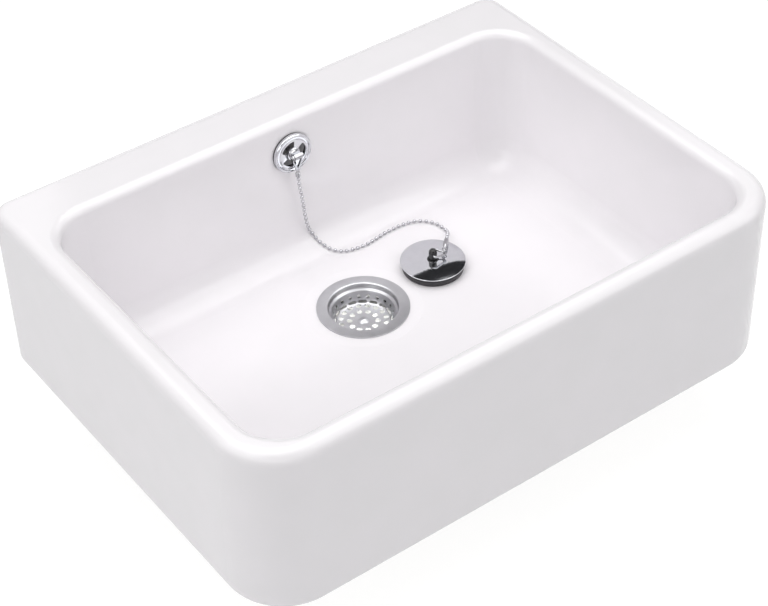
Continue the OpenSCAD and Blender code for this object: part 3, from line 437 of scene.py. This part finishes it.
def make_gloss_black():
    """Black acetal with a moulded gloss: nearly black, with sharp small highlights."""
    made, tree = new_material("black_acetal")
    place = put(tree, "ShaderNodeTexCoord").outputs["Object"]
    # The marks of the moulding's flow are about 4.5 mm wide.
    swirl = put(tree, "ShaderNodeTexNoise", {"Vector": place, "Scale": 220.0, "Detail": 3.0})
    tone = put(tree, "ShaderNodeValToRGB", {"Fac": swirl.outputs["Fac"]})
    tone.color_ramp.elements[0].color = linear("#131214")
    tone.color_ramp.elements[1].color = linear("#242326")
    rough = put(tree, "ShaderNodeMapRange", {"Value": swirl.outputs["Fac"], "To Min": 0.18, "To Max": 0.3})
    bump = put(tree, "ShaderNodeBump", {
        "Height": swirl.outputs["Fac"], "Strength": 0.15, "Distance": 0.1 * MM})
    surface(tree, put(tree, "ShaderNodeBsdfPrincipled", {
        "Base Color": tone.outputs["Color"], "Roughness": rough.outputs[0], "IOR": 1.48,
        "Normal": bump.outputs[0]}))
    return made


glaze = make_glaze()
satin_steel = make_satin_steel()
chrome = make_plate("chromium_plate", "#cfd0d4", "#dcdde1", 0.03, 0.09)
nickel = make_plate("bright_nickel_plate", "#a2a2a5", "#b6b6b9", 0.06, 0.14)
seal_rubber = make_rubber("nitrile_seal_rubber", "#161617", "#232325", 0.62)
plug_rubber = make_rubber("moulded_plug_rubber", "#29282a", "#3a393c", 0.42)
polypropylene = make_waxy_plastic("white_polypropylene", "#e6e6e4", "#f0f0ee", 0.38)
hose_plastic = make_waxy_plastic("grey_white_polyethylene", "#c9cac9", "#d8d9d8", 0.46)
brass = make_brass()
acetal = make_gloss_black()

wear(glaze, "sink_basin")
wear(satin_steel, "strainer_cup", "strainer_screw", "plug_washer")
wear(chrome, "overflow_rosette", "plug_disc")
wear(nickel, "rosette_bolt", "shackle_pin", "chain_shackle", "chain_clasp", "chain_connector", "chain_ring",
     "triangle_link")
wear(seal_rubber, "flange_seal", "under_seal", "rosette_seal", "elbow_seal", "hose_washers")
wear(plug_rubber, "plug_rubber")
wear(polypropylene, "waste_body", "overflow_elbow", "hose_nut_lower", "hose_nut_upper")
wear(brass, "waste_insert", "elbow_insert")
wear(acetal, "plug_stud")


# The strainer

def flat_flange(node, crown_width, crown_height):
    """A copy of the pressed cup whose flange is flat to its edge, shaded smooth."""
    low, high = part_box(node)
    radius, top = (high[0] - low[0]) / 2, high[2]
    shape = bmesh.new()
    shape.from_mesh(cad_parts[node].data)
    bmesh.ops.remove_doubles(shape, verts=shape.verts, dist=0.001 * MM)
    for vert in shape.verts:
        inward = radius - math.hypot(vert.co.x, vert.co.y - WASTE_Y)
        if inward < crown_width and vert.co.z > top - crown_height:
            vert.co.z = top
    mesh = mesh_from("flanged_" + node, shape)
    mesh.shade_smooth()
    mesh.set_sharp_from_angle(angle=math.radians(25))
    mesh.materials.append(satin_steel)
    made = in_scene("flanged_" + node, mesh)
    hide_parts(node)
    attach(made, "sink")


flat_flange("strainer_cup", crown_width=2.5 * MM, crown_height=1.5 * MM)


# The overflow hose

def hose_tree():
    """A ribbed pipe along a curve. The radius swells at each rib and stays plain at the two ends."""
    tree, given, end = new_tree("ribbed_hose", [
        ("Valley Radius", "Float"), ("Rib Height", "Float"), ("Pitch", "Float"), ("Plain End", "Float"),
        ("Material", "Material")])
    fine = put(tree, "GeometryNodeResampleCurve", {
        "Curve": given["Geometry"], "Length": 0.5 * MM}, mode="LENGTH")
    run = put(tree, "GeometryNodeSplineParameter")
    whole = put(tree, "GeometryNodeSplineLength")
    turn_of = put(tree, "ShaderNodeMath", {0: run.outputs["Length"], 1: given["Pitch"]}, operation="DIVIDE")
    angle = put(tree, "ShaderNodeMath", {0: turn_of.outputs[0], 1: 2 * math.pi}, operation="MULTIPLY")
    wave = put(tree, "ShaderNodeMath", {0: angle.outputs[0]}, operation="SINE")
    # The ribs have flat tops and flat valleys, because the wave is cut off at a little over half its height.
    swell = put(tree, "ShaderNodeMapRange", {
        "Value": wave.outputs[0], "From Min": -0.55, "From Max": 0.55}, interpolation_type="SMOOTHSTEP")
    left = put(tree, "ShaderNodeMath", {0: whole.outputs["Length"], 1: run.outputs["Length"]},
               operation="SUBTRACT")
    near = put(tree, "ShaderNodeMath", {0: left.outputs[0], 1: run.outputs["Length"]}, operation="MINIMUM")
    inside = put(tree, "ShaderNodeMath", {
        0: near.outputs[0], 1: given["Plain End"]}, operation="GREATER_THAN")
    rib = put(tree, "ShaderNodeMath", {0: swell.outputs[0], 1: inside.outputs[0]}, operation="MULTIPLY")
    radius = put(tree, "ShaderNodeMath", {
        0: rib.outputs[0], 1: given["Rib Height"], 2: given["Valley Radius"]}, operation="MULTIPLY_ADD")
    ring_shape = put(tree, "GeometryNodeCurvePrimitiveCircle", {"Resolution": 40, "Radius": 1.0})
    skin = put(tree, "GeometryNodeCurveToMesh", {
        "Curve": fine.outputs[0], "Profile Curve": ring_shape.outputs[0], "Scale": radius.outputs[0],
        "Fill Caps": True})
    smooth = put(tree, "GeometryNodeSetShadeSmooth", {"Geometry": skin.outputs[0]})
    close_tree(tree, end, smooth.outputs[0], given["Material"])
    return tree


# The hose leaves the waste level, turns upwards in a quarter circle and ends under the elbow.
HOSE_START_Y, HOSE_TOP_Z = 100.3, 123.7
HOSE_Y, HOSE_Z, HOSE_BEND = 206.5, -26.0, 38.0
BEND_STEPS = 30
hose_line = [(0, HOSE_START_Y, HOSE_Z)]
for step in range(BEND_STEPS + 1):
    bent = math.radians(90 / BEND_STEPS * step)
    hose_line.append((0, HOSE_Y - HOSE_BEND + HOSE_BEND * math.sin(bent),
                      HOSE_Z + HOSE_BEND - HOSE_BEND * math.cos(bent)))
hose_line.append((0, HOSE_Y, HOSE_TOP_Z))
hose = grown(path_object("hose_path", [Vector(q) * MM for q in hose_line]), hose_tree(), {
    "Valley Radius": 10.4 * MM, "Rib Height": 2.05 * MM, "Pitch": 5 * MM, "Plain End": 19.7 * MM,
    "Material": hose_plastic}, "ribbed_overflow_hose")
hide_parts("overflow_hose")
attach(hose, "sink")


# The outlet's thread

STEPS_PER_TURN = 72
# Each corner of the ridge's section: its place along the axis in pitches, and its height in crests.
RIDGE = [(-0.42, -0.1), (-0.14, 1.0), (0.14, 1.0), (0.42, -0.1)]


def thread(name, radius, crest, pitch, low, high, material):
    """A helical ridge round the waste's axis, which fades in and out over a quarter of a turn."""
    turns = (high - low) / pitch
    steps = int(turns * STEPS_PER_TURN)
    shape = bmesh.new()
    rows = []
    for i in range(steps + 1):
        share = i / steps
        fade = min(1, share * turns * 4, (1 - share) * turns * 4)
        angle = 2 * math.pi * turns * share
        row = []
        for across, out in RIDGE:
            r = radius + crest * out * (fade if out > 0 else 1)
            z = low + (high - low) * share + across * pitch
            place = (r * math.cos(angle) * MM, WASTE_Y + r * math.sin(angle) * MM, z * MM)
            row.append(shape.verts.new(place))
        rows.append(row)
    for a, b in zip(rows, rows[1:]):
        for k in range(len(RIDGE)):
            after = (k + 1) % len(RIDGE)
            shape.faces.new((a[k], a[after], b[after], b[k]))
    shape.faces.new(rows[0])
    shape.faces.new(list(reversed(rows[-1])))
    bmesh.ops.recalc_face_normals(shape, faces=shape.faces)
    mesh = mesh_from(name, shape)
    mesh.materials.append(material)
    made = in_scene(name, mesh)
    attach(made, "sink")


thread("outlet_thread", radius=23.9, crest=0.9, pitch=2.31, low=-82.5, high=-50,
       material=polypropylene)


# Floor, light and world

FLOOR_HALF = 6


def seen_part(tree):
    """1 for a ray of the camera, of a mirror or through glass, and 0 for a ray that only brings light."""
    rays = put(tree, "ShaderNodeLightPath").outputs
    direct = put(tree, "ShaderNodeMath", {
        0: rays["Is Camera Ray"], 1: rays["Is Glossy Ray"]}, operation="MAXIMUM")
    return put(tree, "ShaderNodeMath", {
        0: direct.outputs[0], 1: rays["Is Transmission Ray"]}, operation="MAXIMUM").outputs[0]


def make_floor():
    """White floor. Seen or mirrored, it shows white, and a little of the light on it keeps the shadow."""
    made, tree = new_material("white_floor")
    paint = put(tree, "ShaderNodeBsdfDiffuse", {"Color": linear("#f2f2f3")})
    white = put(tree, "ShaderNodeEmission", {"Color": (1, 1, 1, 1), "Strength": 0.9})
    faint = put(tree, "ShaderNodeBsdfDiffuse", {"Color": (0.2, 0.2, 0.2, 1)})
    lit = put(tree, "ShaderNodeAddShader", {0: white.outputs[0], 1: faint.outputs[0]})
    mixed = put(tree, "ShaderNodeMixShader", {0: seen_part(tree), 1: paint.outputs[0], 2: lit.outputs[0]})
    surface(tree, mixed)
    return made


floor = sheet("floor", [(FLOOR_HALF * x, FLOOR_HALF * y, FLOOR_Z)
                        for x, y in ((-1, -1), (1, -1), (1, 1), (-1, 1))], make_floor())


def lamp(name, place, aim, size, power):
    """A rectangular lamp at a place, aimed at a point, with its power in watts."""
    data = bpy.data.lights.new(name, "AREA")
    data.shape = "RECTANGLE"
    data.size, data.size_y = size
    data.energy = power
    made = in_scene(name, data)
    made.matrix_world = Matrix.Translation(place) @ (
        Vector(aim) - Vector(place)).to_track_quat("-Z", "Y").to_matrix().to_4x4()
    return made


MIDDLE = (0, 0, 0.1)
lamp("overhead_softbox", (0.1, 0.15, 1.9), (0.05, 0.0, 0.1), (2.4, 1.9), 29)
lamp("left_softbox", (-1.8, 0.1, 1.5), MIDDLE, (2, 2), 12.5)
lamp("front_left_softbox", (-1.5, -1.6, 1.5), MIDDLE, (2, 2), 16)
lamp("front_right_softbox", (1.5, -1.6, 1.5), MIDDLE, (2, 2), 18.5)
lamp("back_left_softbox", (-1.3, 1.5, 1.6), MIDDLE, (2, 2), 3.5)

# A faint lamp under the strainer lights the inside of the waste, as daylight from the open outlet does.
outlet_light = lamp("outlet_light", (0, WASTE_Y, 1 * MM), (0, WASTE_Y, -50 * MM), (0.05, 0.05), 0.04)
outlet_light.data.shape = "DISK"
outlet_light.data.spread = math.radians(100)
outlet_light.visible_camera = False

# Dark cards out of the picture, seen by mirrors only, give the polished metal something dark to show.
card_material, card_tree = new_material("black_card")
surface(card_tree, put(card_tree, "ShaderNodeBsdfDiffuse", {"Color": linear("#363638")}))


def dark_card(name, corners):
    """A card that only mirrors show, with no shadow."""
    made = sheet(name, corners, card_material)
    made.visible_camera = False
    made.visible_diffuse = False
    made.visible_shadow = False


BACK_CARD_Y = 0.62
BACK_CARD_LEFT, BACK_CARD_RIGHT = -0.05, 0.95
BACK_CARD_LOW, BACK_CARD_HIGH = 0.30, 0.95
dark_card("card_behind", [
    (BACK_CARD_LEFT, BACK_CARD_Y, BACK_CARD_LOW), (BACK_CARD_RIGHT, BACK_CARD_Y, BACK_CARD_LOW),
    (BACK_CARD_RIGHT, BACK_CARD_Y, BACK_CARD_HIGH), (BACK_CARD_LEFT, BACK_CARD_Y, BACK_CARD_HIGH)])

# The second card is just behind the camera, parallel to the picture.
FRONT_CARD_GAP = 0.1
FRONT_CARD_HALF = (0.7, 0.5)
card_middle = camera.matrix_world.translation - FRONT_CARD_GAP * ahead
dark_card("card_in_front", [card_middle + FRONT_CARD_HALF[0] * x * right + FRONT_CARD_HALF[1] * y * up
                            for x, y in ((-1, -1), (1, -1), (1, 1), (-1, 1))])

# The world shows white, and lights the scene only faintly.
world = bpy.data.worlds.new("studio")
world.use_nodes = True
sky_tree = world.node_tree
sky_tree.nodes.clear()
level = put(sky_tree, "ShaderNodeMapRange", {"Value": seen_part(sky_tree), "To Min": 0.05, "To Max": 1.0})
sky = put(sky_tree, "ShaderNodeBackground", {"Color": (1, 1, 1, 1), "Strength": level.outputs[0]})
put(sky_tree, "ShaderNodeOutputWorld", {"Surface": sky.outputs[0]})
bpy.context.scene.world = world
bpy.context.scene.view_settings.view_transform = "Standard"
